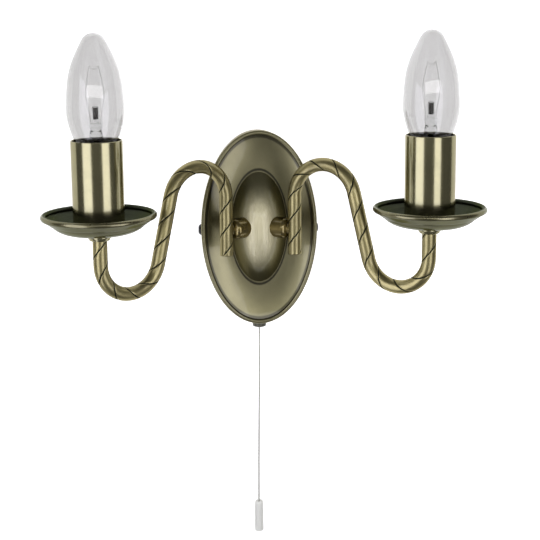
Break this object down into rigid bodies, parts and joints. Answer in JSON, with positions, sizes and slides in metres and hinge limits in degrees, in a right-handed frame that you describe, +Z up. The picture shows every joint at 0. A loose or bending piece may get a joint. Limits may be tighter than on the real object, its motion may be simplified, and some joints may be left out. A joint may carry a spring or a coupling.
{
  "type": "double arm wall sconce",
  "caption": "Wall light with an oval pressed plate, curved arms, drip pans, candle tubes with candle lamps and a pull-cord switch.",
  "frame": {"origin": "middle of the oval backplate, in the plane of the wall", "axes": "+X to the right seen from the room, +Y into the wall, +Z up"},
  "size_m": [0.274, 0.1253, 0.3578],
  "materials": {
    "antique_brass": "aged satin",
    "plain_brass": "bright",
    "zinc_steel": "zinc plated",
    "dark_steel": "blackened",
    "white_plastic": "matt",
    "nozzle_plastic": "satin",
    "clear_sleeving": "gloss",
    "spring_steel": "plain",
    "lamp_glass": "clear",
    "lamp_wire": "plain",
    "lamp_cap_metal": "satin",
    "black_insulator": "vitreous",
    "cord_braid": "braided",
    "pull_plastic": "translucent"
  },
  "bodies": {
    "fixture": {"arm_nipples": "plain_brass", "arm_nuts": "plain_brass", "arm_washers": "plain_brass", "backplate": "antique_brass", "clamp_screws": "plain_brass", "cord_nozzle": "nozzle_plastic", "earth_terminal": "plain_brass", "holder_screws": "plain_brass", "holder_terminals": "plain_brass", "left_arm": "antique_brass", "left_arm_flex": "clear_sleeving", "left_boss": "antique_brass", "left_candle_tube": "antique_brass", "left_centre_contact": "plain_brass", "left_collar": "antique_brass", "left_lampholder": "white_plastic", "left_lampholder_core": "white_plastic", "left_pan": "antique_brass", "left_screw_shell": "plain_brass", "pan_nuts": "plain_brass", "right_arm": "antique_brass", "right_arm_flex": "clear_sleeving", "right_boss": "antique_brass", "right_candle_tube": "antique_brass", "right_centre_contact": "plain_brass", "right_collar": "antique_brass", "right_lampholder": "white_plastic", "right_lampholder_core": "white_plastic", "right_pan": "antique_brass", "right_screw_shell": "plain_brass", "side_screws": "dark_steel", "stem_nipples": "plain_brass", "switch_contacts": "plain_brass", "switch_cover": "white_plastic", "switch_housing": "white_plastic", "switch_leads": "clear_sleeving", "switch_spring": "spring_steel", "terminal_block": "white_plastic", "terminal_inserts": "plain_brass", "wall_bracket": "zinc_steel"},
    "left_bulb": {"left_lamp_glass": "lamp_glass", "left_lamp_stem": "lamp_glass", "left_lamp_leads": "lamp_wire", "left_lamp_filament": "lamp_wire", "left_lamp_cap": "lamp_cap_metal", "left_lamp_insulator": "black_insulator", "left_lamp_contact": "plain_brass"},
    "right_bulb": {"right_lamp_glass": "lamp_glass", "right_lamp_stem": "lamp_glass", "right_lamp_leads": "lamp_wire", "right_lamp_filament": "lamp_wire", "right_lamp_cap": "lamp_cap_metal", "right_lamp_insulator": "black_insulator", "right_lamp_contact": "plain_brass"},
    "pull_slider": {"switch_slider": "white_plastic", "inner_cord": "cord_braid"},
    "rotor": {"switch_rotor": "white_plastic"},
    "hanging_pull": {"pull_cord": "cord_braid", "pull_knot": "cord_braid", "cord_pull": "pull_plastic"}
  },
  "joints": [
    {"name": "left_lamp_lift", "type": "slide", "parent": "fixture", "child": "left_bulb", "axis": [0, 0, 1], "range_m": [0, 0.045]},
    {"name": "right_lamp_lift", "type": "slide", "parent": "fixture", "child": "right_bulb", "axis": [0, 0, 1], "range_m": [0, 0.045]},
    {"name": "switch_pull", "type": "slide", "parent": "fixture", "child": "pull_slider", "axis": [0, 0, -1], "range_m": [0, 0.008], "stiffness_N_per_m": 400, "springref_m": -0.005, "deforming": ["switch_spring"]},
    {"name": "rotor_turn", "type": "hinge", "parent": "fixture", "child": "rotor", "pos_m": [0, -0.0077, -0.035], "axis": [0, 1, 0], "range_deg": [0, 46]},
    {"name": "cord_swing", "type": "hinge", "parent": "pull_slider", "child": "hanging_pull", "pos_m": [0, -0.0077, -0.07145], "axis": [0, 1, 0], "range_deg": [-12, 12]}
  ],
  "couplings": [
    {"joint": "rotor_turn", "follows": "switch_pull", "rad_per_m": 98.175}
  ]
}
